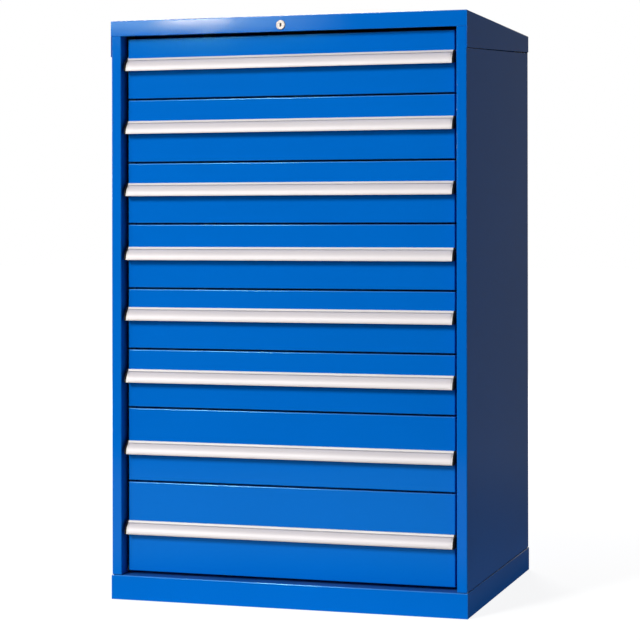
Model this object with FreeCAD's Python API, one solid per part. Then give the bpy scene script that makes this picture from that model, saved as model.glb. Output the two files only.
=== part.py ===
"""Eight-drawer steel cabinet with full-width aluminium pulls and one central lock.

Millimetres, +Z up, the drawers face -Y, the origin is at the middle of the floor under the cabinet.
The housing is folded sheet: two sides with their front uprights, a back, an inverted base pan and a cap
that sleeves over the top.  Every drawer hangs on two telescopic roller slides, and the lock in the cap's
front lip drops a bar of hooks in front of all the drawers at once.
"""
import FreeCAD, Part
import math
import os

Vector = FreeCAD.Vector
os.makedirs("parts", exist_ok=True)

# ---------------------------------------------------------------- housing
cabinet_width = 762.0       # over the cap and the base
cabinet_depth = 609.6       # from the cap's front lip to its rear skirt
sheet = 1.2                 # steel of the housing, the drawer boxes and their fronts
bend_radius = 2.0           # outside radius of a fold
plinth_height = 50.8        # the base pan's skirt
base_foot = 25.0            # flange that the base pan stands on
lip_height = 32.1           # the cap's front lip
lip_return = 12.0           # fold at the bottom of the lip, towards the back
cap_side_front = 75.0       # the cap's side skirt where it meets the lip ...
cap_side_rear = 36.6        # ... and at the rear corner
upright_width = 21.0        # face of the folded front upright
upright_depth = 35.0        # its return towards the back
upright_lip = 12.0          # last fold, behind the return
rear_flange = 20.0          # fold of the side that holds the back panel
panel_fit = 0.2             # air round a panel that drops between two others
foot_joint = 1.2            # open joint between a side and the base
skirt_joint_front = 1.0     # open joint in a side under the cap's skirt, at the front ...
skirt_joint_rear = 2.4      # ... and at the rear
skirt_lap = 1.0             # of the skirt over that joint's upper edge

# ---------------------------------------------------------------- drawer fronts
# each front's height, and how far the pull's top edge stands above the front's bottom edge, from the top
drawers = [
    (124.4, 84.1), (128.6, 85.2), (124.1, 83.1), (131.0, 84.7),
    (122.7, 85.1), (119.1, 78.3), (150.5, 82.9), (185.7, 105.4),
]
front_gap = 3.6             # between two fronts
head_gap = 5.1              # between the first front and the cap's lip
sill_gap = 7.2              # between the last front and the base
side_gap = 8.3              # between a front and the upright beside it
front_recess = 21.5         # the fronts lie this far behind the cap's lip
front_depth = 18.0          # thickness of a folded front
front_flange = 20.0         # border folded in at the back of a front

# ---------------------------------------------------------------- drawer boxes and slides
box_rise = 10.0             # box floor above the front's bottom edge
box_drop = 12.0             # box rim below the front's top edge
box_rim = 7.0               # outward fold along the top of a box side
box_rear_space = 40.0       # between a closed box and the back panel
rail_height = 40.0          # slide centre above the front's bottom edge
rail_sheet = 1.5            # steel of the rails and posts
roller_radius = 12.0
roller_width = 9.0
track_air = 0.3             # a roller's play in its rail, above and below
rail_air = 0.9              # between a rail's flange and the carriage strip
web_air = 1.5               # between a roller's face and the rail's web
carriage_strip = 2.5        # thickness of the carriage between the two rails
opening_air = 1.2           # between the carriage and the opening of the housing
carriage_air = 2.3          # between the carriage and the front before it
roller_inset = 14.0         # end roller from the end of the carriage
roller_pitch = 205.0        # from a roller to the glide block of its pair
glide_length = 30.0
post_width = 30.0
rail_over = 10.0            # the fixed rails and the rear posts end this far behind a closed box

# ---------------------------------------------------------------- pull
pull_height = 27.2
pull_reach = 19.5           # from the drawer's face to the front of the pull
pull_wall = 1.8
pull_top = 4.5              # flat on top of the pull
pull_band = 4.0             # plain band above the curved face
pull_shoulder = 6.5         # reach at the bottom of that band
pull_leg = 16.0             # flange that lies on the drawer's face
label_low = 2.4             # lower edge of the label channel
label_high = 21.6           # its upper edge
label_depth = 0.8
end_cap = 1.5               # of the end cap inside the front's edge
end_cap_over = 2.5          # of the end cap beyond the front's edge
end_cap_lift = 3.3          # the end cap's bottom edge rises this much towards the drawer
end_cap_flat = 14.0         # where that rise starts, from the drawer's face
end_cap_lug = 6.0           # length of the lug that grips inside the pull
lug_width = 6.0
lug_air = 0.5               # between the lug and the pull's leg

# ---------------------------------------------------------------- lock
lock_offset = -7.2          # lock axis from the cabinet's middle
lock_drop = 18.9            # lock axis below the top
lock_proud = 2.0            # bezel in front of the lip
bezel_radius = 10.0
bezel_chamfer = 1.0
barrel_radius = 9.0
barrel_length = 30.0        # behind the lip's outer face
barrel_fit = 0.1
plug_radius = 6.3
plug_fit = 0.1
plug_sunk = 0.4             # plug face behind the bezel face
key_width = 1.8
key_height = 7.4
key_depth = 14.0
nut_flats = 22.0
nut_thick = 4.0
cam_thick = 2.5
cam_margin = 3.0            # metal round the axis and the crank pin
cam_screw_flats = 7.0
cam_screw_head = 2.5
crank = 7.0                 # crank pin from the lock axis
lock_turn = 90.0            # degrees from open to locked, the crank straight down halfway
crank_radius = 2.5
crank_air = 0.5
tail_side = 6.0             # square tail of the plug that turns the cam
tail_fit = 0.1
slide_thick = 2.0
slide_height = 22.0
slide_back = 10.4           # slide behind the uprights
slide_tail = 40.0           # slide beyond the lock, away from the bar
slide_bar_air = 1.7         # between slide and bar
bar_thick = 3.0
bar_width = 11.0
bar_post_air = 0.5
bar_head = 21.0             # height of the bar's wider head
bar_head_air = 4.3          # between the head and the cap above it
bar_foot_air = 24.0         # between the bar's foot and the base
drive_radius = 2.0          # pin of the bar in the slide's sloping slot
drive_air = 0.4
drive_inset = 4.5           # that pin from the head's inner edge
hook_reach = 14.0           # a hook from the bar towards the drawer
hook_height = 8.0
hook_lap = 6.0              # of a lowered hook over its catch, sideways
catch_height = 14.0         # catch on top of the drawer's rail
catch_thick = 3.0
catch_air = 2.0             # between a hook and the catch behind it
catch_lift = 1.0            # between the catch's arm and the fixed rail below it
unlock_air = 3.0            # a raised hook above the catch
guide_sheet = 1.5
guide_height = 16.0
guide_drop = 6.0            # top of a guide below the rail above it
guide_air = 0.3
slide_guide_width = 30.0
slide_guide_lip = 8.0
slide_guide_front = 0.6
slide_guide_rear = 1.0

# ---------------------------------------------------------------- places that follow from them
stack = sum(height for height, _ in drawers) + front_gap * (len(drawers) - 1)
cabinet_height = plinth_height + sill_gap + stack + head_gap + lip_height
half_width = cabinet_width / 2
lip_y = (lock_proud - cabinet_depth) / 2        # the lock's bezel counts in the overall depth
rear_y = lip_y + cabinet_depth
body_half = half_width - sheet
body_front = lip_y + sheet
body_rear = rear_y - sheet
body_top = cabinet_height - sheet
opening_half = body_half - upright_width
upright_rear = body_front + upright_depth
panel_front = body_rear - 2 * sheet

front_half = opening_half - side_gap
face_y = lip_y + front_recess
box_front = face_y + front_depth
box_rear = panel_front - box_rear_space

carriage_out = opening_half - opening_air           # outer face of the outer rollers
strip_out = carriage_out - roller_width
strip_in = strip_out - carriage_strip
roller_in = strip_in - roller_width                 # inner face of the inner rollers
fixed_web = carriage_out + web_air
post_face = fixed_web + rail_sheet
drawer_web = roller_in - web_air
box_half = drawer_web - rail_sheet
rail_half = roller_radius + track_air + rail_sheet  # half a rail's height
carriage_front = box_front + carriage_air
carriage_rear = box_rear
rail_tail = box_rear + rail_over

slide_y = upright_rear + slide_back
bar_y = slide_y + slide_thick + slide_bar_air
post_y = bar_y + bar_thick + bar_post_air
rear_post_y = rail_tail - post_width
bar_in = post_face + guide_sheet + 2 * guide_air
lock_x = lock_offset
lock_z = cabinet_height - lock_drop
lock_travel = 2 * crank * math.sin(math.radians(lock_turn / 2))

fronts = []                                         # (bottom, top, top of the pull) of every front
level = cabinet_height - lip_height - head_gap
for front_height, pull_level in drawers:
    fronts.append((level - front_height, level, level - front_height + pull_level))
    level -= front_height + front_gap
rails = [bottom + rail_height for bottom, _, _ in fronts]


# ---------------------------------------------------------------- shapes
def block(x, y, z):
    """A box over the spans x, y and z."""
    return Part.makeBox(x[1] - x[0], y[1] - y[0], z[1] - z[0], Vector(x[0], y[0], z[0]))


def eased_block(x, y, z, face):
    """A box over three spans, with the edges of its front or top face rounded as a fold is."""
    solid = block(x, y, z)
    axis, value = {"front": ("y", y[0]), "top": ("z", z[1])}[face]
    edges = [
        edge for edge in solid.Edges
        if all(abs(getattr(corner.Point, axis) - value) < 1e-6 for corner in edge.Vertexes)
    ]
    return solid.makeFillet(bend_radius, edges)


def prism(points, radii, plane, span):
    """A closed outline with its corners rounded, in the plane xy, yz or xz, pulled along the third axis."""
    place = {
        "xy": lambda a, b: Vector(a, b, span[0]),
        "yz": lambda a, b: Vector(span[0], a, b),
        "xz": lambda a, b: Vector(a, span[0], b),
    }[plane]
    pull = {"xy": Vector(0, 0, 1), "yz": Vector(1, 0, 0), "xz": Vector(0, 1, 0)}[plane]
    corners = [place(a, b) for a, b in points]
    arcs = []
    for i, corner in enumerate(corners):
        before = (corners[i - 1] - corner).normalize()
        after = (corners[(i + 1) % len(corners)] - corner).normalize()
        half = before.getAngle(after) / 2
        inward = before + after
        if radii[i] > 0 and inward.Length > 1e-6:
            centre = corner + inward.normalize() * (radii[i] / math.sin(half))
            start = corner + before * (radii[i] / math.tan(half))
            end = corner + after * (radii[i] / math.tan(half))
            middle = centre + (corner - centre).normalize() * radii[i]
            arcs.append((start, middle, end))
        else:
            arcs.append((corner, None, corner))
    edges = []
    for i, (start, middle, end) in enumerate(arcs):
        if middle is not None:
            edges.append(Part.Arc(start, middle, end).toShape())
        following = arcs[(i + 1) % len(arcs)][0]
        if end.distanceToPoint(following) > 1e-6:
            edges.append(Part.makeLine(end, following))
    face = Part.Face(Part.Wire(edges))
    return face.extrude(pull * (span[1] - span[0]))


def fold(path, thick, plane, span, radius=0):
    """Folded sheet: an open path of the outside, left turns only, with the metal on its left."""
    left = []
    for i, point in enumerate(path):
        before = path[max(i - 1, 0)], path[max(i, 1)]
        after = path[min(i, len(path) - 2)], path[min(i + 1, len(path) - 1)]
        normals = []
        for (a0, b0), (a1, b1) in (before, after):
            run = math.hypot(a1 - a0, b1 - b0)
            normals.append(((b0 - b1) / run, (a1 - a0) / run))
        share = 1 + normals[0][0] * normals[1][0] + normals[0][1] * normals[1][1]
        left.append(tuple(point[k] + thick * (normals[0][k] + normals[1][k]) / share for k in (0, 1)))
    outside = [0] + [radius] * (len(path) - 2) + [0]
    inside = [0] + [max(radius - thick, 0)] * (len(path) - 2) + [0]
    return prism(path + left[::-1], outside + inside, plane, span)


def rod(centre, radius, y):
    """A cylinder along Y round the point (x, z)."""
    return Part.makeCylinder(radius, y[1] - y[0], Vector(centre[0], y[0], centre[1]), Vector(0, 1, 0))


def mirrored(shape):
    """The same shape on the cabinet's other side."""
    return shape.mirror(Vector(0, 0, 0), Vector(1, 0, 0))


def both(shape):
    """The shape and its mirror image."""
    return [shape, mirrored(shape)]


def save(node, solids):
    """One STEP file for each node."""
    shape = solids[0] if len(solids) == 1 else Part.makeCompound(solids)
    shape.exportStep("parts/" + node + ".step")


# ---------------------------------------------------------------- housing sheets
def skirt_edge(y):
    """Level of the lower edge of the cap's side skirts."""
    share = (y - lip_y) / (rear_y - lip_y)
    return cabinet_height - cap_side_front + share * (cap_side_front - cap_side_rear)


def top_cap():
    """A lid folded down on four sides, with a short front lip and side skirts that taper to the rear."""
    low = skirt_edge(lip_y)
    outer = eased_block((-half_width, half_width), (lip_y, rear_y), (low, cabinet_height), "top")
    inner = block((-body_half, body_half), (body_front, body_rear), (low - sheet, body_top))
    rear_low = skirt_edge(rear_y)
    below_skirts = prism(
        [(lip_y, low), (rear_y, rear_low), (rear_y + sheet, rear_low), (rear_y + sheet, low - sheet),
         (lip_y, low - sheet)],
        [0] * 5, "yz", (-cabinet_width, cabinet_width),
    )
    lip_low = cabinet_height - lip_height
    below_lip = block((-body_half, body_half), (lip_y - sheet, body_front), (low - sheet, lip_low))
    cap = outer.cut([inner, below_skirts, below_lip])
    lip_inside = opening_half - panel_fit
    lip_depth = (lip_y + bend_radius / 2, lip_y + lip_return)
    cap = cap.fuse(block((-lip_inside, lip_inside), lip_depth, (lip_low, lip_low + sheet)))
    hole = rod((lock_x, lock_z), barrel_radius + barrel_fit, (lip_y - sheet, body_front + sheet))
    return cap.cut(hole).removeSplitter()


def side_panel():
    """The right-hand side: upright lip, return, face, side and rear flange, folded from one sheet.

    A tapering joint is open in it under the cap's skirt.
    """
    path = [
        (opening_half + upright_lip, upright_rear),
        (opening_half, upright_rear),
        (opening_half, body_front),
        (body_half, body_front),
        (body_half, body_rear),
        (body_half - rear_flange, body_rear),
    ]
    panel = fold(path, sheet, "xy", (plinth_height + foot_joint, body_top), bend_radius)
    front = body_front + 2 * bend_radius
    rear = body_rear - 2 * bend_radius
    joint = [
        (front, skirt_edge(front) + skirt_lap), (rear, skirt_edge(rear) + skirt_lap),
        (rear, skirt_edge(rear) - skirt_joint_rear), (front, skirt_edge(front) - skirt_joint_front),
    ]
    return panel.cut(prism(joint, [0] * 4, "yz", (body_half - 2 * sheet, half_width)))


def back_panel():
    """A flat sheet held behind the rear flanges of the two sides, clear of their folds."""
    half = body_half - bend_radius - panel_fit
    return block((-half, half), (panel_front, panel_front + sheet), (plinth_height, body_top))


def base():
    """An inverted pan: the cabinet's floor and plinth in one, standing on a flange all round."""
    outer = eased_block((-half_width, half_width), (lip_y, rear_y), (0, plinth_height), "top")
    inner = block((-body_half, body_half), (body_front, body_rear), (sheet, plinth_height - sheet))
    window_half = half_width - base_foot
    window_y = (lip_y + base_foot, rear_y - base_foot)
    window = block((-window_half, window_half), window_y, (-sheet, 2 * sheet))
    return outer.cut([inner, window])


# ---------------------------------------------------------------- slides
def post(y):
    """A right-hand channel on the side panel that carries one end of every fixed rail."""
    wall = body_half - sheet
    path = [(wall, y + post_width), (post_face, y + post_width), (post_face, y), (wall, y)]
    return fold(path, rail_sheet, "xy", (plinth_height, body_top))


def fixed_rail(height):
    """A right-hand channel on its two posts, open towards the drawer."""
    tip = strip_out + rail_air
    path = [
        (tip, height - rail_half), (post_face, height - rail_half),
        (post_face, height + rail_half), (tip, height + rail_half),
    ]
    return fold(path, rail_sheet, "xz", (post_y, rail_tail))


def carriage(height):
    """Right-hand carriage: a strip with a roller and a glide block in each of the two rails it joins.

    The drawer's rail rides on the pair at the front, and the pair at the rear rides in the fixed rail.
    """
    z = (height - roller_radius, height + roller_radius)
    strip = block((strip_in, strip_out), (carriage_front, carriage_rear), z)
    front_roller = carriage_front + roller_inset
    rear_roller = carriage_rear - roller_inset
    solids = [strip]
    for face, y, glide_y in (
        (roller_in, front_roller, front_roller + roller_pitch),
        (strip_out, rear_roller, rear_roller - roller_pitch),
    ):
        hub = Vector(face, y, height)
        solids.append(Part.makeCylinder(roller_radius, roller_width, hub, Vector(1, 0, 0)))
        glide_span = (glide_y - glide_length / 2, glide_y + glide_length / 2)
        solids.append(block((face, face + roller_width), glide_span, z))
    return solids


# ---------------------------------------------------------------- drawers
def drawer_box(bottom, top, height):
    """The box and its two rails, welded up: a folded pan with a rim and a channel along each side."""
    low, high = bottom + box_rise, top - box_drop
    outer = block((-box_half, box_half), (box_front, box_rear), (low, high))
    inner_half = box_half - sheet
    inner_y = (box_front + sheet, box_rear - sheet)
    inner = block((-inner_half, inner_half), inner_y, (low + sheet, high + sheet))
    rim = block((box_half, box_half + box_rim), (box_front, box_rear), (high - sheet, high))
    tip = strip_in - rail_air
    path = [
        (tip, height + rail_half), (box_half, height + rail_half),
        (box_half, height - rail_half), (tip, height - rail_half),
    ]
    rail = fold(path, rail_sheet, "xz", (box_front, box_rear))
    return outer.cut(inner).fuse(both(rim) + both(rail)).removeSplitter()


def drawer_catch(height):
    """Plate on top of the right-hand rail, with an arm over the fixed rail that the lock's hook stops."""
    y = bar_y + bar_thick + catch_air
    low = height + rail_half
    foot_out = strip_in - rail_air
    arm_out = bar_in - hook_reach + hook_lap
    outline = [
        (drawer_web, low), (foot_out, low), (foot_out, low + catch_lift),
        (arm_out, low + catch_lift), (arm_out, low + catch_height), (drawer_web, low + catch_height),
    ]
    return prism(outline, [0] * len(outline), "xz", (y, y + catch_thick))


def drawer_front(bottom, top):
    """A shallow pan with its border folded in at the back, where the box is welded on."""
    outer = eased_block((-front_half, front_half), (face_y, box_front), (bottom, top), "front")
    inner_half = front_half - sheet
    inner_y = (face_y + sheet, box_front - sheet)
    inner = block((-inner_half, inner_half), inner_y, (bottom + sheet, top - sheet))
    window_half = front_half - front_flange
    window_z = (bottom + front_flange, top - front_flange)
    window = block((-window_half, window_half), (box_front - 2 * sheet, box_front + sheet), window_z)
    return outer.cut([inner, window])


# The pull's curved face is an arc that stands upright at the bottom edge, level with its centre.
shoulder_level = pull_height - pull_band
shoulder_run = pull_reach - pull_shoulder
pull_radius = (shoulder_level ** 2 + shoulder_run ** 2) / (2 * shoulder_run)


def on_pull(depth, level_up, low):
    """The point at a level above the pull's bottom edge, at a depth under its curved face."""
    radius = pull_radius - depth
    reach = pull_reach - pull_radius + math.sqrt(radius ** 2 - level_up ** 2)
    return Vector(0, face_y - reach, low + level_up)


def pull_arc(depth, start, end, low):
    """An edge along the curved face between two levels."""
    middle = on_pull(depth, (start + end) / 2, low)
    return Part.Arc(on_pull(depth, start, low), middle, on_pull(depth, end, low)).toShape()


def pull_face(edges, x):
    """Closes a pull outline and pulls it along X."""
    wire = Part.Wire(Part.__sortEdges__(edges))
    face = Part.Face(wire)
    face.translate(Vector(x[0], 0, 0))
    return face.extrude(Vector(x[1] - x[0], 0, 0))


def chain(points):
    """Straight edges from point to point."""
    return [Part.makeLine(a, b) for a, b in zip(points, points[1:])]


def pull(top):
    """Extruded pull: a leg on the drawer's face, a shoulder, and a curved face with a label channel."""
    low = top - pull_height
    leg_front = face_y - pull_wall
    inner_radius = pull_radius - pull_wall
    inner_top = math.sqrt(inner_radius ** 2 - (pull_wall + pull_radius - pull_reach) ** 2)
    shoulder = Vector(0, face_y - pull_shoulder, top - pull_band)
    edges = chain([
        on_pull(pull_wall, 0, low), on_pull(0, 0, low),
    ])
    edges.append(pull_arc(0, 0, label_low, low))
    edges += chain([on_pull(0, label_low, low), on_pull(label_depth, label_low, low)])
    edges.append(pull_arc(label_depth, label_low, label_high, low))
    edges += chain([on_pull(label_depth, label_high, low), on_pull(0, label_high, low)])
    edges.append(pull_arc(0, label_high, shoulder_level, low))
    edges += chain([
        shoulder,
        Vector(0, face_y - pull_top, top),
        Vector(0, face_y, top),
        Vector(0, face_y, top - pull_leg),
        Vector(0, leg_front, top - pull_leg),
        Vector(0, leg_front, low + inner_top),
    ])
    edges.append(pull_arc(pull_wall, 0, inner_top, low))
    return pull_face(edges, (end_cap - front_half, front_half - end_cap))


def pull_end(top):
    """Moulded cap for the pull's right end, with a lug that grips inside it."""
    low = top - pull_height
    edges = [pull_arc(0, 0, shoulder_level, low)]
    edges += chain([
        Vector(0, face_y - pull_shoulder, top - pull_band),
        Vector(0, face_y - pull_top, top),
        Vector(0, face_y, top),
        Vector(0, face_y, low + end_cap_lift),
        Vector(0, face_y - end_cap_flat, low),
        on_pull(0, 0, low),
    ])
    plate = pull_face(edges, (front_half - end_cap, front_half + end_cap_over))
    lug_x = (front_half - end_cap - end_cap_lug, front_half - end_cap)
    lug_rear = face_y - pull_wall - lug_air
    lug = block(lug_x, (lug_rear - lug_width, lug_rear), (top - pull_leg, top - pull_leg + lug_width))
    return plate.fuse(lug)


# ---------------------------------------------------------------- lock
def hexagon(flats):
    """Corners of a hexagon round the lock's axis, from its width across the flats."""
    corner = flats / math.sqrt(3)
    turns = [math.radians(60 * i) for i in range(6)]
    return [(lock_x + corner * math.cos(turn), lock_z + corner * math.sin(turn)) for turn in turns]


def lock_barrel():
    """Bezel and body, bored for the plug."""
    axis = (lock_x, lock_z)
    bezel_y = lip_y - lock_proud
    bezel = rod(axis, bezel_radius, (bezel_y, lip_y))
    rim = [edge for edge in bezel.Edges if edge.BoundBox.YMax < bezel_y + 1e-6]
    body = rod(axis, barrel_radius, (lip_y, lip_y + barrel_length))
    bore = rod(axis, plug_radius + plug_fit, (bezel_y - sheet, lip_y + barrel_length + sheet))
    return bezel.makeChamfer(bezel_chamfer, rim).fuse(body).cut(bore)


def lock_nut():
    """Hexagon nut that clamps the barrel in the lip."""
    nut = prism(hexagon(nut_flats), [0] * 6, "xz", (body_front, body_front + nut_thick))
    return nut.cut(rod((lock_x, lock_z), barrel_radius + barrel_fit, (lip_y, body_front + 2 * nut_thick)))


plug_front = lip_y - lock_proud + plug_sunk
plug_rear = lip_y + barrel_length
cam_rear = plug_rear + cam_thick


def lock_plug():
    """Turning plug with its key slot, and a square tail that carries the cam."""
    axis = (lock_x, lock_z)
    plug = rod(axis, plug_radius, (plug_front, plug_rear))
    key = block(
        (lock_x - key_width / 2, lock_x + key_width / 2), (plug_front - sheet, plug_front + key_depth),
        (lock_z - key_height / 2, lock_z + key_height / 2),
    )
    half = tail_side / 2
    tail = block((lock_x - half, lock_x + half), (plug_rear, cam_rear), (lock_z - half, lock_z + half))
    return plug.cut(key).fuse(tail)


crank_x = lock_x - lock_travel / 2
crank_z = lock_z - crank * math.cos(math.radians(lock_turn / 2))


def lock_cam():
    """Lever on the plug's tail and the crank pin that reaches into the slide."""
    width = crank_radius + cam_margin
    lever = block(
        (lock_x - width, lock_x + width), (plug_rear, cam_rear), (lock_z - crank - width, lock_z + width)
    )
    lever.rotate(Vector(lock_x, 0, lock_z), Vector(0, 1, 0), lock_turn / 2)
    half = tail_side / 2 + tail_fit
    eye = block((lock_x - half, lock_x + half), (lip_y, cam_rear + sheet), (lock_z - half, lock_z + half))
    pin_end = slide_y + slide_thick + crank_air
    return [lever.cut(eye), rod((crank_x, crank_z), crank_radius, (cam_rear, pin_end))]


def lock_cam_screw():
    """Hexagon head that clamps the cam on the square tail."""
    return prism(hexagon(cam_screw_flats), [0] * 6, "xz", (cam_rear, cam_rear + cam_screw_head))


drive_x = opening_half - opening_air + drive_inset
head_top = body_top - bar_head_air
drive_z = head_top - drive_inset
slide_low = lock_z - crank - crank_radius - crank_air - 2 * cam_margin


def lock_slide():
    """Flat bar behind the lip: the crank moves it sideways, and its sloping slot lowers the lock bar."""
    margin = drive_radius + drive_air + slide_thick / 2
    right = drive_x + margin
    slope_left = drive_x - lock_travel
    step = slope_left - margin - drive_radius
    outline = [
        (lock_x - slide_tail, slide_low), (step, slide_low),
        (right, drive_z - lock_travel - margin),
        (right, drive_z + margin), (step, drive_z + margin),
        (step - drive_inset, slide_low + slide_height), (lock_x - slide_tail, slide_low + slide_height),
    ]
    plate = prism(outline, [0] * len(outline), "xz", (slide_y, slide_y + slide_thick))
    through = (slide_y - sheet, slide_y + slide_thick + sheet)
    reach = crank_radius + crank_air
    crank_slot = block((crank_x - reach, crank_x + reach), through, (lock_z - crank - reach, crank_z + reach))
    half = (drive_radius + drive_air) * math.sqrt(2)
    sloping_slot = prism(
        [(drive_x, drive_z + half), (slope_left - half, drive_z - lock_travel),
         (slope_left, drive_z - lock_travel - half), (drive_x + half, drive_z)],
        [0] * 4, "xz", through,
    )
    return plate.cut([crank_slot, sloping_slot])


def slide_guides():
    """Hooked straps welded under the cap, in which the slide runs."""
    front = slide_y - slide_guide_front - sheet
    rear = slide_y + slide_thick + slide_guide_rear + sheet
    low = slide_low - guide_air - sheet
    path = [(front, low + slide_guide_lip), (front, low), (rear, low), (rear, body_top)]
    left = lock_x + slide_tail
    right = opening_half - 3 * slide_guide_width
    return [fold(path, sheet, "yz", (x, x + slide_guide_width)) for x in (left, right)]


def lock_bar():
    """Upright bar with one hook for each drawer, lowered and raised by its drive pin."""
    y = (bar_y, bar_y + bar_thick)
    foot = plinth_height + bar_foot_air
    head_in = opening_half - opening_air
    bar = block((bar_in, bar_in + bar_width), y, (foot, head_top))
    head = block((head_in, bar_in + bar_width), y, (head_top - bar_head, head_top))
    pin = rod((drive_x, drive_z), drive_radius, (slide_y - drive_air, bar_y))
    solids = [bar.fuse(head).removeSplitter(), pin]
    for height in rails:
        low = height + rail_half + catch_height + unlock_air
        solids.append(block((bar_in - hook_reach, bar_in), y, (low, low + hook_height)))
    return solids


def lock_bar_guides():
    """Three straps on the front post that keep the bar upright."""
    front = bar_y - guide_air - guide_sheet
    left = post_face
    right = bar_in + bar_width + guide_air + guide_sheet
    path = [(left, post_y), (left, front), (right, front), (right, post_y)]
    levels = [rails[i] - rail_half - guide_drop for i in (0, len(rails) // 2 - 1, len(rails) - 2)]
    return [fold(path, guide_sheet, "xy", (level - guide_height, level)) for level in levels]


# ---------------------------------------------------------------- the files
save("top_cap", [top_cap()])
save("side_panel_right", [side_panel()])
save("side_panel_left", [mirrored(side_panel())])
save("back_panel", [back_panel()])
save("base", [base()])
save("front_posts", both(post(post_y)))
save("rear_posts", both(post(rear_post_y)))
save("cabinet_rails", [rail for height in rails for rail in both(fixed_rail(height))])
save("lock_barrel", [lock_barrel()])
save("lock_nut", [lock_nut()])
save("lock_plug", [lock_plug()])
save("lock_cam", lock_cam())
save("lock_cam_screw", [lock_cam_screw()])
save("lock_slide", [lock_slide()])
save("slide_guides", slide_guides())
save("lock_bar", lock_bar())
save("lock_bar_guides", lock_bar_guides())
for number, ((front_low, front_high, pull_top_z), rail_z) in enumerate(zip(fronts, rails), 1):
    name = "drawer_" + str(number)
    save(name + "_box", [drawer_box(front_low, front_high, rail_z), drawer_catch(rail_z)])
    save(name + "_front", [drawer_front(front_low, front_high)])
    save(name + "_pull", [pull(pull_top_z)])
    save(name + "_end_caps", both(pull_end(pull_top_z)))
    save(name + "_carriage", [piece for solid in carriage(rail_z) for piece in both(solid)])
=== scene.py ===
import math

import bmesh
import bpy
from mathutils import Matrix, Vector


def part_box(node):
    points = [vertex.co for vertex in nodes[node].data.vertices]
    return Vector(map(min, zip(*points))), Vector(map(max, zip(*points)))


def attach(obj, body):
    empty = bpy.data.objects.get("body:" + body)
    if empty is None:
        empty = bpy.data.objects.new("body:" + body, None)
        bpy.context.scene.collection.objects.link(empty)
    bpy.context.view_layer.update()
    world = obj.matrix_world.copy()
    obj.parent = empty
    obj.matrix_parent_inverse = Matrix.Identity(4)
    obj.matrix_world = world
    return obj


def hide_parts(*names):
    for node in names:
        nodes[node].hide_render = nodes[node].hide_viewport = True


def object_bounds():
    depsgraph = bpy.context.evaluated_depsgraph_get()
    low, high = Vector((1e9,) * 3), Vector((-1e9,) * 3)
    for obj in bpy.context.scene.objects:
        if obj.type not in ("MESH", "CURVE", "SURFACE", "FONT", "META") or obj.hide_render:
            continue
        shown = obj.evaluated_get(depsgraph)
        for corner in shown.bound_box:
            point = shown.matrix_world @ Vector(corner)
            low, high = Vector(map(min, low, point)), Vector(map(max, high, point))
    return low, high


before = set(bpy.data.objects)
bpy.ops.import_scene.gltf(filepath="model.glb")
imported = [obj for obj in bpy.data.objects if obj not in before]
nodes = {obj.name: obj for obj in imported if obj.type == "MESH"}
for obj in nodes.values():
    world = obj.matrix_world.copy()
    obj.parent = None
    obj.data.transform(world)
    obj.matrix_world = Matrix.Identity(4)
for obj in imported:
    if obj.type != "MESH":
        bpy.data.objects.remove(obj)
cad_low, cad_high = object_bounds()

# ---------------------------------------------------------------- camera
# The cabinet is seen from the front and a little from its right, through a long lens at table height.
# The view is shifted down instead of tilted, so that the upright edges stay parallel.
camera_place = (1.2963, -4.2264, 0.7837)
camera_turn = math.radians(17.28)
camera_roll = math.radians(-0.08)
scene = bpy.context.scene
scene.view_settings.view_transform = "Standard"
camera_data = bpy.data.cameras.new("camera")
camera_data.sensor_width = 36.0
camera_data.lens = 114.3
camera_data.shift_y = -0.151
camera = bpy.data.objects.new("camera", camera_data)
scene.collection.objects.link(camera)
camera.matrix_world = (
    Matrix.Translation(camera_place)
    @ Matrix.Rotation(camera_turn, 4, "Z")
    @ Matrix.Rotation(math.radians(90), 4, "X")
    @ Matrix.Rotation(camera_roll, 4, "Z")
)
scene.camera = camera


# ---------------------------------------------------------------- lamps
# A large softbox stands high at the front left, with a weak one below it that fills the shadows.  A strip and
# a small lamp, both a little tinted, glint in the cap's lip.  Others hang overhead, behind and on the right.
def softbox(name, place, aim, width, height, watts, colour=(1.0, 1.0, 1.0)):
    """A rectangular lamp that faces the point aim."""
    data = bpy.data.lights.new(name, "AREA")
    data.shape = "RECTANGLE"
    data.size = width
    data.size_y = height
    data.energy = watts
    data.color = colour
    lamp = bpy.data.objects.new(name, data)
    scene.collection.objects.link(lamp)
    lamp.location = place
    lamp.rotation_euler = (Vector(aim) - Vector(place)).to_track_quat("-Z", "Y").to_euler()
    return lamp


lip_middle = (-0.1, -0.3, 1.2)
lip_tint = (1.0, 0.86, 0.55)
softbox("key_lamp", (-3.4, -8.0, 4.8), (-2.1, -5.4, 0.0), width=1.7, height=2.7, watts=810)
softbox("fill_lamp", (-4.2, -5.5, 1.3), (0.0, -0.3, 0.6), width=1.2, height=0.8, watts=50)
softbox("lip_lamp", (-2.44, -6.2, 1.94), lip_middle, width=0.34, height=0.20, watts=20, colour=lip_tint)
softbox("overhead_lamp", (-0.7, -0.5, 3.9), (-0.5, -0.2, 0.0), width=2.2, height=2.2, watts=13)
softbox("side_lamp", (5.0, -1.0, 1.0), (0.4, 0.0, 0.4), width=1.6, height=1.6, watts=17)
softbox("back_lamp", (-2.0, 5.0, 2.4), (0.0, 0.3, 0.6), width=2.0, height=2.0, watts=210)


def add_node(tree, kind, inputs=(), **settings):
    """A node with its own settings, and constants or links for its inputs."""
    made = tree.nodes.new(kind)
    for setting, value in settings.items():
        setattr(made, setting, value)
    for socket, value in dict(inputs).items():
        if isinstance(value, bpy.types.NodeSocket):
            tree.links.new(value, made.inputs[socket])
        else:
            made.inputs[socket].default_value = value
    return made


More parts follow.
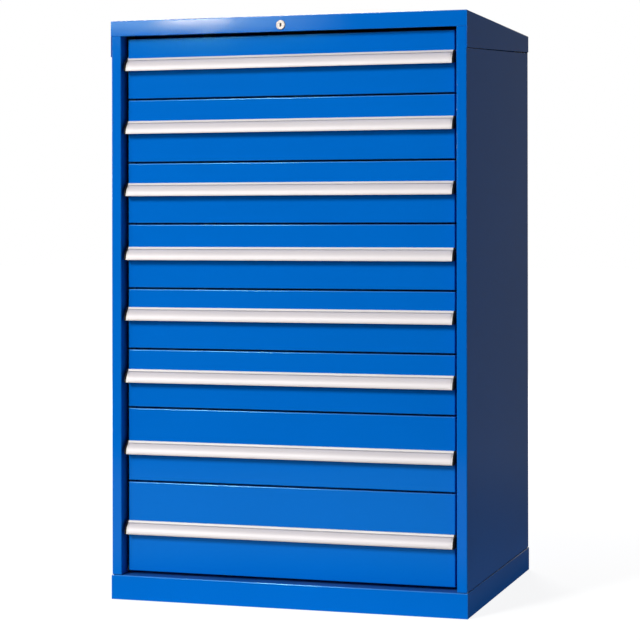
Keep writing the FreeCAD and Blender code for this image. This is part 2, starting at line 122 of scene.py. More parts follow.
def reckon(tree, operation, *values, clamp=False):
    """The result of a Math node."""
    made = add_node(tree, "ShaderNodeMath", dict(enumerate(values)), operation=operation, use_clamp=clamp)
    return made.outputs[0]


def ease(tree, value, start, end, low=0.0, high=1.0):
    """A value carried smoothly from low to high while it goes from start to end."""
    made = add_node(
        tree, "ShaderNodeMapRange",
        {"Value": value, "From Min": start, "From Max": end, "To Min": low, "To Max": high},
        interpolation_type="SMOOTHSTEP",
    )
    return made.outputs["Result"]


# The strip grows dim over its right half.
strip_tint = (0.67, 1.0, 0.89)
strip_lamp = softbox(
    "strip_lamp", (-2.355, -6.3, 1.955), lip_middle, width=1.39, height=0.32, watts=23, colour=strip_tint
)
strip_lamp.data.use_nodes = True
tree = strip_lamp.data.node_tree
on_lamp = add_node(tree, "ShaderNodeNewGeometry").outputs["Parametric"]
along = add_node(tree, "ShaderNodeSeparateXYZ", {0: on_lamp})
fading = add_node(
    tree, "ShaderNodeMapRange",
    {"Value": along.outputs["X"], "From Min": 0.5, "From Max": 1.0, "To Min": 1.0, "To Max": 0.0},
)
tree.links.new(fading.outputs["Result"], tree.nodes["Emission"].inputs["Strength"])


# ---------------------------------------------------------------- room
# A white backdrop behind the cabinet and a pale floor.  Glossy surfaces see a grey ceiling, the white
# backdrop on the left, and dark drapes in front and on the right, which is what keeps the paint deep.
white = (1.0, 1.0, 1.0, 1.0)
world = bpy.data.worlds.new("room")
scene.world = world
world.use_nodes = True
room = world.node_tree
room.nodes.clear()
backdrop_level = 0.60
shade_level = 0.11          # drapes on the right ...
front_level = 0.010         # ... and in front
ceiling_level = 0.30
ambient = 0.06              # what dull surfaces get from all round
ray = add_node(room, "ShaderNodeLightPath")
direction = add_node(room, "ShaderNodeTexCoord").outputs["Generated"]
toward = add_node(room, "ShaderNodeSeparateXYZ", {0: direction})
walls = ease(room, toward.outputs["X"], -0.15, 0.22, backdrop_level, shade_level)
walls = ease(room, toward.outputs["Y"], -0.1, 0.4, front_level, walls)
seen_in_gloss = ease(room, toward.outputs["Z"], 0.3, 0.75, walls, ceiling_level)
glossy = ray.outputs["Is Glossy Ray"]
level = reckon(room, "MULTIPLY_ADD", glossy, reckon(room, "SUBTRACT", seen_in_gloss, ambient), ambient)
straight = reckon(room, "MAXIMUM", ray.outputs["Is Camera Ray"], ray.outputs["Is Transmission Ray"])
level = reckon(room, "MULTIPLY_ADD", straight, reckon(room, "SUBTRACT", 1.0, level), level)
light = add_node(room, "ShaderNodeBackground", {"Color": white, "Strength": level})
add_node(room, "ShaderNodeOutputWorld", {"Surface": light.outputs[0]})

floor_half = 30.0
floor_below = 0.0004        # the floor's top under the cabinet's feet
corners = [(-1, -1), (1, -1), (1, 1), (-1, 1)]
floor_mesh = bpy.data.meshes.new("floor")
floor_mesh.from_pydata([(x * floor_half, y * floor_half, 0.0) for x, y in corners], [], [(0, 1, 2, 3)])
floor = bpy.data.objects.new("floor", floor_mesh)
floor.location.z = cad_low.z - floor_below
scene.collection.objects.link(floor)

# The floor is matt where the camera sees it, with a glow that makes it as white as the backdrop.  The paint
# mirrors a glowing patch on it in front of the cabinet, a painted white sheet that only reflections see, and
# the plinth gets a little light back from it.  The glow, the sheet and this light change with the distance in
# metres from the cabinet's middle.
glow_near = 0.90            # glow beside the cabinet, which leaves its shadow to be seen
matt_shown = 0.22           # paleness as the camera sees it
matt_left = 0.38            # paleness as the cabinet sees it, on its left ...
matt_right = 0.18           # ... and on its right
sheet_level = 0.70
bounce_level = 0.42
shade_beside = 0.6 * shade_level        # the drapes' level beside the cabinet
floor_material = bpy.data.materials.new("pale_floor")
floor_material.use_nodes = True
tree = floor_material.node_tree
tree.nodes.clear()
ray = add_node(tree, "ShaderNodeLightPath")
shown = ray.outputs["Is Camera Ray"]
glossy = ray.outputs["Is Glossy Ray"]
place = add_node(tree, "ShaderNodeTexCoord").outputs["Object"]
spot = add_node(tree, "ShaderNodeSeparateXYZ", {0: place})
in_shade = ease(tree, spot.outputs["X"], 0.30, 0.50)
away = add_node(tree, "ShaderNodeVectorMath", {0: place}, operation="LENGTH").outputs["Value"]
matt_around = ease(tree, spot.outputs["X"], 0.3, 1.0, matt_left, matt_right)
matt_around = reckon(tree, "MULTIPLY", matt_around, reckon(tree, "SUBTRACT", 1.0, glossy))
paleness = reckon(tree, "MULTIPLY_ADD", shown, reckon(tree, "SUBTRACT", matt_shown, matt_around), matt_around)
matt = add_node(tree, "ShaderNodeBsdfDiffuse", {"Color": paleness})
sheet = ease(tree, away, 0.60, 1.2, 0.0, sheet_level)
lit_sheet = ease(tree, away, 2.3, 3.4, sheet, front_level)
drapes = ease(tree, away, 0.6, 3.0, shade_beside, shade_level)
glossy_level = ease(tree, in_shade, 0.0, 1.0, lit_sheet, drapes)
backing = ease(tree, away, 0.8, 2.4, glow_near, 1.0)
strength = reckon(tree, "MULTIPLY_ADD", glossy, glossy_level, reckon(tree, "MULTIPLY", shown, backing))
bounce = ease(tree, away, 0.35, 0.95, bounce_level, 0.0)
strength = reckon(tree, "MULTIPLY_ADD", ray.outputs["Is Diffuse Ray"], bounce, strength)
glow = add_node(tree, "ShaderNodeEmission", {"Color": white, "Strength": strength})
paper = add_node(tree, "ShaderNodeAddShader", {0: matt.outputs[0], 1: glow.outputs[0]})
add_node(tree, "ShaderNodeOutputMaterial", {"Surface": paper.outputs[0]})
floor_mesh.materials.append(floor_material)


# ---------------------------------------------------------------- cap
# A lid of 1.2 mm sheet steel folded down on four sides, with its front lip over the drawers and its side
# skirts tapering to the rear.  Sprayed and stoved in smooth semi-gloss blue, as is the rest of the housing.
def new_group(name, inputs, outputs):
    """An empty shader node group with float inputs (name: default) and float outputs."""
    group = bpy.data.node_groups.new(name, "ShaderNodeTree")
    for socket, value in inputs.items():
        made = group.interface.new_socket(socket, in_out="INPUT", socket_type="NodeSocketFloat")
        made.default_value = value
    for socket in outputs:
        group.interface.new_socket(socket, in_out="OUTPUT", socket_type="NodeSocketFloat")
    return group, add_node(group, "NodeGroupInput"), add_node(group, "NodeGroupOutput")


def place_group(tree, group, **values):
    """The group in a material's tree with its own values."""
    made = add_node(tree, "ShaderNodeGroup", node_tree=group)
    for socket, value in values.items():
        made.inputs[socket.replace("_", " ")].default_value = value
    return made


def noise_of(tree, place, scale, detail=2.0, roughness=0.5):
    """Smooth noise between 0 and 1."""
    values = {"Vector": place, "Scale": scale, "Detail": detail, "Roughness": roughness}
    return add_node(tree, "ShaderNodeTexNoise", values).outputs["Fac"]


def scaled(tree, *values):
    """The product of several values."""
    made = values[0]
    for value in values[1:]:
        made = reckon(tree, "MULTIPLY", made, value)
    return made


# Sprayed film: fine orange peel on top of the slight waves of a large sheet, and a film that is never
# quite even in colour or gloss.
sprayed_film, given, result = new_group(
    "sprayed_film", {"Peel Size": 0.0024, "Peel Depth": 1.0, "Wave Size": 0.16, "Wave Depth": 1.0},
    ("Height", "Shade", "Gloss"),
)
place = add_node(sprayed_film, "ShaderNodeTexCoord").outputs["Object"]
peels = reckon(sprayed_film, "DIVIDE", 1.0, given.outputs["Peel Size"])
peel = noise_of(sprayed_film, place, peels)
waves = reckon(sprayed_film, "DIVIDE", 1.0, given.outputs["Wave Size"])
wave = noise_of(sprayed_film, place, waves, detail=1.0)
film = noise_of(sprayed_film, place, scale=3.2, detail=3.0)
speck = noise_of(sprayed_film, place, scale=420.0, roughness=0.7)
peel_metres = 0.0000018
wave_metres = 0.00016
peel_height = scaled(sprayed_film, peel, peel_metres, given.outputs["Peel Depth"])
wave_height = scaled(sprayed_film, wave, wave_metres, given.outputs["Wave Depth"])
sprayed_film.links.new(reckon(sprayed_film, "ADD", peel_height, wave_height), result.inputs["Height"])
mottle = reckon(sprayed_film, "MULTIPLY_ADD", film, 0.10, 0.93)
sprayed_film.links.new(reckon(sprayed_film, "MULTIPLY_ADD", speck, 0.04, mottle), result.inputs["Shade"])
sprayed_film.links.new(reckon(sprayed_film, "MULTIPLY_ADD", film, 0.02, -0.01), result.inputs["Gloss"])

# Edge wear and painted highlight: where two faces meet the colour turns lighter, partly as a film that is
# thinner and gets rubbed, more in some places than in others, and partly as a painted highlight.  The third
# input is the share of painted highlight on a rounded fold that faces up, where the light falls on it.
edge_wear_and_highlight, given, result = new_group("edge_wear_and_highlight", {"Width": 0.0012, "Amount": 0.5, "Top": 0.0}, ("Mask",))
rounded = add_node(edge_wear_and_highlight, "ShaderNodeBevel", {"Radius": given.outputs["Width"]}, samples=4)
plain = add_node(edge_wear_and_highlight, "ShaderNodeNewGeometry")
turned = add_node(
    edge_wear_and_highlight, "ShaderNodeVectorMath", {0: rounded.outputs["Normal"], 1: plain.outputs["Normal"]},
    operation="DOT_PRODUCT",
)
edge = ease(edge_wear_and_highlight, turned.outputs["Value"], 0.995, 0.86)
upward = add_node(edge_wear_and_highlight, "ShaderNodeSeparateXYZ", {0: plain.outputs["Normal"]}).outputs["Z"]
leans_back = ease(edge_wear_and_highlight, upward, 0.04, 0.14)
not_level = ease(edge_wear_and_highlight, upward, 0.98, 0.88)
fold_highlight = scaled(edge_wear_and_highlight, leans_back, not_level, given.outputs["Top"])
place = add_node(edge_wear_and_highlight, "ShaderNodeTexCoord").outputs["Object"]
patches = noise_of(edge_wear_and_highlight, place, scale=22.0, detail=4.0, roughness=0.65)
patches = ease(edge_wear_and_highlight, patches, 0.35, 0.75, low=0.25)
rubbed = scaled(edge_wear_and_highlight, patches, given.outputs["Amount"])
wear_and_highlight = reckon(edge_wear_and_highlight, "MULTIPLY_ADD", edge, rubbed, fold_highlight, clamp=True)
edge_wear_and_highlight.links.new(wear_and_highlight, result.inputs["Mask"])

# Settled dust: a thin grey veil on what faces up, with finger and cloth marks wiped out of it.
settled_dust, given, result = new_group("settled_dust", {"Amount": 0.2}, ("Mask",))
normal = add_node(settled_dust, "ShaderNodeNewGeometry").outputs["Normal"]
upward = add_node(settled_dust, "ShaderNodeSeparateXYZ", {0: normal}).outputs["Z"]
place = add_node(settled_dust, "ShaderNodeTexCoord").outputs["Object"]
clouds = noise_of(settled_dust, place, scale=7.0, detail=5.0, roughness=0.6)
clouds = ease(settled_dust, clouds, 0.3, 0.7, low=0.3)
flecks = noise_of(settled_dust, place, scale=900.0, detail=1.0)
flecks = ease(settled_dust, flecks, 0.55, 0.7, low=0.5)
faces_up = ease(settled_dust, upward, 0.55, 0.95)
veil = scaled(settled_dust, clouds, flecks, given.outputs["Amount"], faces_up)
settled_dust.links.new(veil, result.inputs["Mask"])


def new_finish(name):
    """A material with its Principled shader: its tree and the shader."""
    material = bpy.data.materials.new(name)
    material.use_nodes = True
    tree = material.node_tree
    return material, tree, tree.nodes["Principled BSDF"]


first_colour, second_colour, mixed_colour = 6, 7, 2     # the colour sockets of a Mix node


def shaded(tree, colour, shade):
    """One colour made lighter or darker by a value."""
    values = {"Factor": 1.0, first_colour: (*colour, 1.0), second_colour: shade}
    made = add_node(tree, "ShaderNodeMix", values, data_type="RGBA", blend_type="MULTIPLY")
    return made.outputs[mixed_colour]


def bumped(tree, shader, height):
    """The shader's normal, from a height in metres."""
    bump = add_node(tree, "ShaderNodeBump", {"Height": height, "Distance": 1.0})
    tree.links.new(bump.outputs["Normal"], shader.inputs["Normal"])


def blended(tree, factor, first, second):
    """Two colours mixed by a mask; either may be a socket or a plain colour."""
    values = {"Factor": factor}
    for socket, colour in ((first_colour, first), (second_colour, second)):
        values[socket] = colour if isinstance(colour, bpy.types.NodeSocket) else (*colour, 1.0)
    made = add_node(tree, "ShaderNodeMix", values, data_type="RGBA")
    return made.outputs[mixed_colour]


dust_colour = (0.42, 0.41, 0.39)


def enamel(
    name, colour, thin_and_highlight_colour, roughness, specular, top=0.15, reflection=(1.0, 1.0, 1.0), **film_values
):
    """Stoved enamel over steel: lighter at edges, partly worn film and partly painted highlight, with a
    little dust on top.
    """
    material, tree, shader = new_finish(name)
    film = place_group(tree, sprayed_film, **film_values)
    # the lighter colour at edges is part worn film and part painted highlight; top is the painted share on
    # up-facing folds
    worn_and_lit = place_group(tree, edge_wear_and_highlight, Width=0.0020, Amount=0.22, Top=top)
    dust = place_group(tree, settled_dust, Amount=0.16)
    base = blended(tree, worn_and_lit.outputs["Mask"], shaded(tree, colour, film.outputs["Shade"]), thin_and_highlight_colour)
    base = blended(tree, dust.outputs["Mask"], base, dust_colour)
    tree.links.new(base, shader.inputs["Base Color"])
    gloss = reckon(tree, "ADD", film.outputs["Gloss"], roughness)
    gloss = reckon(tree, "MULTIPLY_ADD", dust.outputs["Mask"], 0.5, gloss, clamp=True)
    tree.links.new(gloss, shader.inputs["Roughness"])
    shader.inputs["Specular IOR Level"].default_value = specular
    shader.inputs["Specular Tint"].default_value = (*reflection, 1.0)
    bumped(tree, shader, film.outputs["Height"])
    return material


blue = (0.0002, 0.140, 0.588)
# The second colour is the lighter blue of worn edges and of the painted highlight on folds.
blue_enamel = enamel("blue_enamel", blue, (0.16, 0.46, 0.88), roughness=0.058, specular=0.16)


def dress(node, *materials):
    """Gives a CAD piece its finish, and further ones that single faces can take."""
    piece = nodes[node]
    piece.material_slots[0].material = materials[0]
    for material in materials[1:]:
        piece.data.materials.append(material)


def soften(node, width, long_faces=False):
    """Rounds the sharp edges of a piece by a narrow bevel, as deburred sheet has them."""
    piece = nodes[node] if node in nodes else bpy.data.objects[node]
    weld = piece.modifiers.new("weld", "WELD")
    weld.merge_threshold = 0.000001
    flat = piece.modifiers.new("flat", "DECIMATE")
    flat.decimate_type = "DISSOLVE"
    flat.angle_limit = math.radians(0.4)
    bevel = piece.modifiers.new("bevel", "BEVEL")
    bevel.width = width
    bevel.segments = 2
    bevel.limit_method = "ANGLE"
    bevel.angle_limit = math.radians(35)
    bevel.harden_normals = not long_faces
    bevel.miter_outer = "MITER_SHARP" if long_faces else "MITER_ARC"
    if long_faces:
        evened = piece.modifiers.new("evened", "WEIGHTED_NORMAL")
        evened.mode = "FACE_AREA"
        evened.weight = 100
        evened.keep_sharp = True


folded_edge = 0.0005        # edges of the large folded pieces, under a full film
dress("top_cap", blue_enamel)
soften("top_cap", folded_edge)

# ---------------------------------------------------------------- sides
# Each side is one folded sheet: it wraps round the front as the upright beside the drawers, returns into
# the cabinet, and is folded again at the rear to hold the back.
sheet_edge = 0.0003
for node in ("side_panel_right", "side_panel_left"):
    dress(node, blue_enamel)
    soften(node, sheet_edge, long_faces=True)

# ---------------------------------------------------------------- back
# A flat sheet in the same steel and blue as the sides, cut to lie clear of their rear folds and spot-welded
# inside their rear flanges.
dress("back_panel", blue_enamel)
soften("back_panel", sheet_edge)

# ---------------------------------------------------------------- base
# An inverted pan that is the floor and the plinth in one, with a flange to stand on.  Over its top fold the
# blue is lighter, partly as thinner film and partly as a painted highlight, and the gloss is softer and
# stronger there.
# a lighter blue for worn edges and for the painted highlight on folds
thin_and_highlight_blue = (0.10, 0.42, 0.90)
fold_enamel = enamel(
    "fold_enamel", blue, thin_and_highlight_blue, roughness=0.21, specular=1.0, top=0.15, reflection=(0.45, 1.0, 0.90)
)


def shine_on_folds(node):
    """Gives the folds that lean back, from the front face to the top, the piece's second finish."""
    upright, level, forward = 0.04, 0.97, -0.1
    for face in nodes[node].data.polygons:
        if upright < face.normal.z < level and face.normal.y < forward:
            face.material_index = 1


dress("base", blue_enamel, fold_enamel)
shine_on_folds("base")
soften("base", folded_edge)

# ---------------------------------------------------------------- posts and fixed rails
# Zinc-plated channels of 1.5 mm steel, spot-welded to the sides before the housing is closed.
# Bright zinc has a soft blue-grey bloom in patches and fine scratches along the channel.
zinc_bloom, given, result = new_group(
    "zinc_bloom", {"Patch Size": 0.02, "Scratch": 1.0}, ("Shade", "Gloss", "Height")
)
place = add_node(zinc_bloom, "ShaderNodeTexCoord").outputs["Object"]
patches = reckon(zinc_bloom, "DIVIDE", 1.0, given.outputs["Patch Size"])
cells = add_node(
    zinc_bloom, "ShaderNodeTexVoronoi", {"Vector": place, "Scale": patches, "Randomness": 1.0},
    feature="SMOOTH_F1",
)
clouds = noise_of(zinc_bloom, place, scale=35.0, detail=4.0, roughness=0.6)
drawn = add_node(zinc_bloom, "ShaderNodeMapping", {"Vector": place, "Scale": (1400.0, 30.0, 1400.0)})
lines = noise_of(zinc_bloom, drawn.outputs["Vector"], scale=1.0, detail=3.0, roughness=0.7)
bloom = reckon(zinc_bloom, "MULTIPLY_ADD", cells.outputs["Distance"], 0.18, 0.78)
zinc_bloom.links.new(reckon(zinc_bloom, "MULTIPLY_ADD", clouds, 0.22, bloom), result.inputs["Shade"])
zinc_bloom.links.new(reckon(zinc_bloom, "MULTIPLY_ADD", clouds, 0.22, -0.08), result.inputs["Gloss"])
scratch_metres = 0.000003
scratches = scaled(zinc_bloom, lines, scratch_metres, given.outputs["Scratch"])
zinc_bloom.links.new(scratches, result.inputs["Height"])


def shaded_metal(name, colour, skin, roughness):
    """A bare metal whose colour, gloss and grain come from one group."""
    material, tree, shader = new_finish(name)
    group = place_group(tree, skin)
    tree.links.new(shaded(tree, colour, group.outputs["Shade"]), shader.inputs["Base Color"])
    gloss = reckon(tree, "ADD", group.outputs["Gloss"], roughness, clamp=True)
    tree.links.new(gloss, shader.inputs["Roughness"])
    bumped(tree, shader, group.outputs["Height"])
    shader.inputs["Metallic"].default_value = 1.0
    return material


small_edge = 0.0002
zinc = shaded_metal("bright_zinc", (0.66, 0.68, 0.71), zinc_bloom, roughness=0.34)
for node in ("front_posts", "rear_posts", "cabinet_rails"):
    dress(node, zinc)
    soften(node, small_edge)

# ---------------------------------------------------------------- lock
# A cam lock with a satin chrome bezel, faced on a lathe, clamped in the cap's front lip by a hexagon nut.
# The cam moves the slide, and the slide lowers the zinc-plated lock bar in its guides.  The nut, the cam, the
# slide and the slide's guides are dark-finished steel, coloured nearly black as painted shade in the gap
# under the cap's lip.
barrel_low, barrel_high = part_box("lock_barrel")
lock_axis = (barrel_low + barrel_high) / 2
turned_face, given, result = new_group("turned_face", {"Pitch": 0.0004}, ("Shade", "Gloss", "Height"))
place = add_node(turned_face, "ShaderNodeTexCoord").outputs["Object"]
out = add_node(
    turned_face, "ShaderNodeVectorMath", {0: place, 1: (lock_axis.x, 0.0, lock_axis.z)}, operation="SUBTRACT"
)
out = add_node(
    turned_face, "ShaderNodeVectorMath", {0: out.outputs[0], 1: (1.0, 0.0, 1.0)}, operation="MULTIPLY"
)
radius = add_node(turned_face, "ShaderNodeVectorMath", {0: out.outputs[0]}, operation="LENGTH")
turns = reckon(turned_face, "DIVIDE", radius.outputs["Value"], given.outputs["Pitch"])
rings = reckon(turned_face, "SINE", reckon(turned_face, "MULTIPLY", turns, 2 * math.pi))
smudge = noise_of(turned_face, place, scale=160.0, detail=3.0)
turned_face.links.new(reckon(turned_face, "MULTIPLY_ADD", smudge, 0.2, 0.88), result.inputs["Shade"])
turned_face.links.new(reckon(turned_face, "MULTIPLY_ADD", smudge, 0.16, -0.08), result.inputs["Gloss"])
ring_metres = 0.0000006
turned_face.links.new(reckon(turned_face, "MULTIPLY", rings, ring_metres), result.inputs["Height"])
satin_chrome = shaded_metal("satin_chrome", (0.33, 0.297, 0.30), turned_face, roughness=0.34)
dress("lock_barrel", satin_chrome)
soften("lock_barrel", small_edge)
# nearly black: dark-finished steel, and painted shade for the parts seen in the gap under the lip
shade_black_steel = shaded_metal("black_steel_as_shade", (0.012, 0.012, 0.014), zinc_bloom, roughness=0.60)
for node in ("lock_cam_screw", "lock_bar", "lock_bar_guides"):
    dress(node, zinc)
    soften(node, small_edge)
for node in ("lock_nut", "lock_cam", "lock_slide", "slide_guides"):
    dress(node, shade_black_steel)
    soften(node, small_edge)

# ---------------------------------------------------------------- lock plug
# The turning core, chrome like the bezel.  Its key slot is broached wide enough for a flat key with grooves
# on both sides, and the edges of the slot are broken.
slot_width = 0.0034
slot_height = 0.0074
slot_cut = 0.0011           # half the width of the CAD plug's slot, and a little more
slot_edge = 0.00012
plug_mesh = nodes["lock_plug"].data.copy()
plug_mesh.name = "lock_core_body"
for vertex in plug_mesh.vertices:
    across = vertex.co.x - lock_axis.x
    if abs(across) < slot_cut and abs(vertex.co.z - lock_axis.z) < slot_height / 2 + slot_cut:
        vertex.co.x = lock_axis.x + math.copysign(slot_width / 2, across)
plug_mesh.materials.clear()
plug_mesh.materials.append(satin_chrome)
lock_core_body = bpy.data.objects.new("lock_core_body", plug_mesh)
scene.collection.objects.link(lock_core_body)
soften("lock_core_body", slot_edge)
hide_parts("lock_plug")
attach(lock_core_body, "lock_core")

# ---------------------------------------------------------------- lock wafers
# Five brass wafers stand in the plug behind the key slot, coloured nearly black as painted shade so that
# the slot shows as a dark hole.  They reach into it from the top and the bottom in turn, and slide in cuts
# of their own.
wafer_count = 5
wafer_thick = 0.0007
wafer_pitch = 0.0022
wafer_first = 0.0016        # the first wafer behind the plug's face
wafer_play = 0.0002
wafer_width = slot_width - wafer_play
wafer_reach = 0.0024        # how far a wafer stands into the slot from its top or bottom
wafer_edge = 0.0001
# painted shade: the wafers' brass is coloured nearly black so the key slot looks dark
brass = shaded_metal("wafer_shade_brass", (0.05, 0.042, 0.03), turned_face, roughness=0.50)
plug_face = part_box("lock_plug")[0].y
wafers = bpy.data.meshes.new("lock_wafers")
shape = bmesh.new()
for i in range(wafer_count):
    side = 1 if i % 2 else -1
    deep = plug_face + wafer_first + i * wafer_pitch
    middle = lock_axis.z + side * (slot_height - wafer_reach) / 2
    spot = Matrix.Translation((lock_axis.x, deep, middle))
    size = Matrix.Diagonal((wafer_width, wafer_thick, wafer_reach, 1.0))
    bmesh.ops.create_cube(shape, size=1.0, matrix=spot @ size)
shape.to_mesh(wafers)
shape.free()
lock_wafers = bpy.data.objects.new("lock_wafers", wafers)
scene.collection.objects.link(lock_wafers)
edges = lock_wafers.modifiers.new("bevel", "BEVEL")
edges.width = wafer_edge
wafers.materials.append(brass)
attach(lock_wafers, "lock_core")

# ---------------------------------------------------------------- drawer boxes
# Folded pans of 1.2 mm sheet with a rim and a slide channel welded along each side.  They are sprayed in
# light grey enamel, duller than the housing's blue, and hang in the housing on their slides.
drawer_count = sum(name.endswith("_front") for name in nodes)
grey = (0.50, 0.52, 0.53)
# a lighter grey for worn edges and for the painted highlight on folds
thin_and_highlight_grey = (0.62, 0.63, 0.64)
grey_enamel = enamel("grey_enamel", grey, thin_and_highlight_grey, roughness=0.42, specular=0.4, Peel_Size=0.0012)
for number in range(1, drawer_count + 1):
    node = f"drawer_{number}_box"
    dress(node, grey_enamel)
    soften(node, sheet_edge)

# ---------------------------------------------------------------- drawer fronts
# Shallow folded pans in the housing's blue, their rounded edges facing forward, welded on the boxes.
# Like the base, their top folds shine a little more and are painted a lighter blue as a highlight.
front_enamel = enamel(
    "front_enamel", blue, thin_and_highlight_blue, roughness=0.058, specular=0.28, top=0.05, reflection=(0.30, 1.0, 0.80)
)
for number in range(1, drawer_count + 1):
    node = f"drawer_{number}_front"
    dress(node, front_enamel, fold_enamel)
    shine_on_folds(node)
    soften(node, sheet_edge)

# ---------------------------------------------------------------- pulls
# Full-width aluminium extrusions: a leg on the drawer's face, a shoulder, and a curved front with a shallow
# channel for a label.  Etched and clear anodised, so the die lines along the bar still show faintly.
die_lines, given, result = new_group("die_lines", {"Depth": 1.0}, ("Shade", "Gloss", "Height"))
place = add_node(die_lines, "ShaderNodeTexCoord").outputs["Object"]
along = add_node(die_lines, "ShaderNodeMapping", {"Vector": place, "Scale": (3.0, 1500.0, 1500.0)})
lines = noise_of(die_lines, along.outputs["Vector"], scale=1.0, detail=3.0, roughness=0.6)
bands = add_node(die_lines, "ShaderNodeMapping", {"Vector": place, "Scale": (0.8, 260.0, 260.0)})
bands = noise_of(die_lines, bands.outputs["Vector"], scale=1.0)
cloud = noise_of(die_lines, place, scale=9.0, detail=3.0)
tone = reckon(die_lines, "MULTIPLY_ADD", lines, 0.04, reckon(die_lines, "MULTIPLY_ADD", bands, 0.03, 0.94))
die_lines.links.new(tone, result.inputs["Shade"])
die_lines.links.new(reckon(die_lines, "MULTIPLY_ADD", cloud, 0.10, -0.05), result.inputs["Gloss"])
line_metres = 0.0000008
die_lines.links.new(scaled(die_lines, lines, line_metres, given.outputs["Depth"]), result.inputs["Height"])
cut_edge = 0.0003           # edges of the extrusion and of moulded parts
anodised = shaded_metal("anodised_aluminium", (0.66, 0.63, 0.622), die_lines, roughness=0.68)
for number in range(1, drawer_count + 1):
    node = f"drawer_{number}_pull"
    dress(node, anodised)
    soften(node, cut_edge, long_faces=True)


# ---------------------------------------------------------------- label strips
# A card strip under a clear satin film lies in each pull's channel and stops a little short of its ends.
# Nothing is written on it.
def card_strip(name, outline, start, length):
    """A strip with the closed outline (y, z) at its end, which runs along X from start."""
    shape = bmesh.new()
    near = [shape.verts.new((start, y, z)) for y, z in outline]
    far = [shape.verts.new((start + length, y, z)) for y, z in outline]
    shape.faces.new(near)
    shape.faces.new(far[::-1])
    for i in range(len(outline)):
        j = (i + 1) % len(outline)
        shape.faces.new((near[j], near[i], far[i], far[j]))
    bmesh.ops.recalc_face_normals(shape, faces=shape.faces)
    mesh = bpy.data.meshes.new(name)
    shape.to_mesh(mesh)
    shape.free()
    piece = bpy.data.objects.new(name, mesh)
    scene.collection.objects.link(piece)
    return piece


label_low = 0.0024          # the channel's edges above the pull's bottom edge
label_high = 0.0216
channel_depth = 0.0008
band_height = 0.004         # plain band above the pull's curved face
shoulder_reach = 0.0065     # how far that band stands out at its bottom
label_play = 0.0002         # between the strip and the channel's edges
label_end = 0.0040          # aluminium left bare at each end
label_thick = 0.0005
label_edge = 0.00008
label_steps = 14
card_white = (0.69, 0.632, 0.65)
fibre_metres = 0.000002
card, tree, shader = new_finish("label_card")
place = add_node(tree, "ShaderNodeTexCoord").outputs["Object"]
fibre = noise_of(tree, place, scale=1300.0, detail=4.0, roughness=0.7)
tone = ease(tree, noise_of(tree, place, scale=5.0, detail=3.0), 0.3, 0.7, low=0.955)
tone = reckon(tree, "MULTIPLY_ADD", fibre, 0.03, reckon(tree, "SUBTRACT", tone, 0.015))
tree.links.new(shaded(tree, card_white, tone), shader.inputs["Base Color"])
shader.inputs["Roughness"].default_value = 0.48
shader.inputs["Coat Weight"].default_value = 1.0
shader.inputs["Coat Roughness"].default_value = 0.45
bumped(tree, shader, reckon(tree, "MULTIPLY", fibre, fibre_metres))
for number in range(1, drawer_count + 1):
    pull_low, pull_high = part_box(f"drawer_{number}_pull")
    reach = pull_high.y - pull_low.y
    shoulder_level = pull_high.z - pull_low.z - band_height
    shoulder_run = reach - shoulder_reach
    curve = (shoulder_level ** 2 + shoulder_run ** 2) / (2 * shoulder_run)
    back_side = [(channel_depth, step) for step in range(label_steps + 1)]
    front_side = [(channel_depth - label_thick, step) for step in range(label_steps, -1, -1)]
    outline = []
    for depth, step in back_side + front_side:
        up = label_low + label_play + (label_high - label_low - 2 * label_play) * step / label_steps
        forward = reach - curve + math.sqrt((curve - depth) ** 2 - up ** 2)
        outline.append((pull_high.y - forward, pull_low.z + up))
    label_length = pull_high.x - pull_low.x - 2 * label_end
    strip = card_strip(f"drawer_{number}_label", outline, pull_low.x + label_end, label_length)
    for face in strip.data.polygons:
        face.use_smooth = len(face.vertices) == 4 and abs(face.normal.z) < 0.95
    strip.data.set_sharp_from_angle(angle=math.radians(30))
    edges = strip.modifiers.new("bevel", "BEVEL")
    edges.width = label_edge
    edges.limit_method = "ANGLE"
    edges.angle_limit = math.radians(40)
    edges.harden_normals = True
    strip.data.materials.append(card)
    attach(strip, f"drawer_{number}")

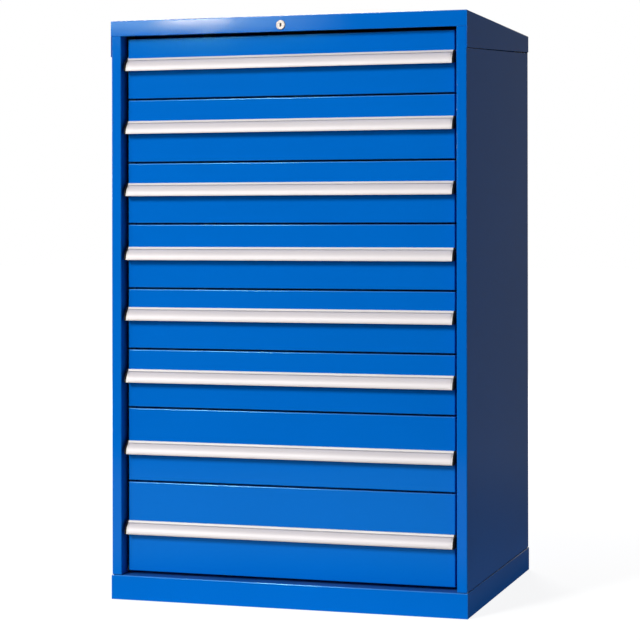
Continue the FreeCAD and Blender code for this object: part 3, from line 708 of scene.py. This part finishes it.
# ---------------------------------------------------------------- pull ends
# Caps pushed into the ends of each pull, moulded in black plastic.  They have the fine grain of a
# spark-eroded mould, and a slight shine where hands have rubbed it.
black = (0.0045, 0.0045, 0.0050)
handled_black = (0.008, 0.008, 0.009)
pit_metres = 0.000012
black_moulding, tree, shader = new_finish("black_moulding")
place = add_node(tree, "ShaderNodeTexCoord").outputs["Object"]
pits = noise_of(tree, place, scale=2600.0, detail=3.0, roughness=0.65)
handled = noise_of(tree, place, scale=70.0, detail=3.0)
base = blended(tree, ease(tree, handled, 0.3, 0.75), black, handled_black)
tree.links.new(base, shader.inputs["Base Color"])
tree.links.new(ease(tree, handled, 0.25, 0.8, low=0.56, high=0.42), shader.inputs["Roughness"])
shader.inputs["Specular IOR Level"].default_value = 0.1
bumped(tree, shader, reckon(tree, "MULTIPLY", pits, pit_metres))
for number in range(1, drawer_count + 1):
    node = f"drawer_{number}_end_caps"
    dress(node, black_moulding)
    soften(node, cut_edge)

# ---------------------------------------------------------------- slide carriages
# A zinc-plated strip between the drawer's rail and the fixed rail, with white nylon rollers and glide
# blocks on both its faces.
nylon_white = (0.74, 0.73, 0.69)
nylon_greased = (0.52, 0.50, 0.46)
nylon, tree, shader = new_finish("white_nylon")
place = add_node(tree, "ShaderNodeTexCoord").outputs["Object"]
grime = ease(tree, noise_of(tree, place, scale=55.0, detail=4.0, roughness=0.6), 0.45, 0.8)
tree.links.new(blended(tree, grime, nylon_white, nylon_greased), shader.inputs["Base Color"])
tree.links.new(ease(tree, grime, 0.0, 1.0, low=0.38, high=0.55), shader.inputs["Roughness"])
shader.inputs["Subsurface Weight"].default_value = 0.08
shader.inputs["Subsurface Scale"].default_value = 0.002
shader.inputs["Subsurface Radius"].default_value = (1.0, 0.9, 0.8)
roller_width = 0.009
strip_thick = 0.0025
strip_half = 0.0013         # half the strip's thickness, and a little more
for number in range(1, drawer_count + 1):
    node = f"drawer_{number}_carriage"
    dress(node, zinc, nylon)
    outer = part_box(node)[1].x
    strip_middle = outer - roller_width - strip_thick / 2
    for face in nodes[node].data.polygons:
        if abs(abs(face.center.x) - strip_middle) > strip_half:
            face.material_index = 1
    soften(node, cut_edge)
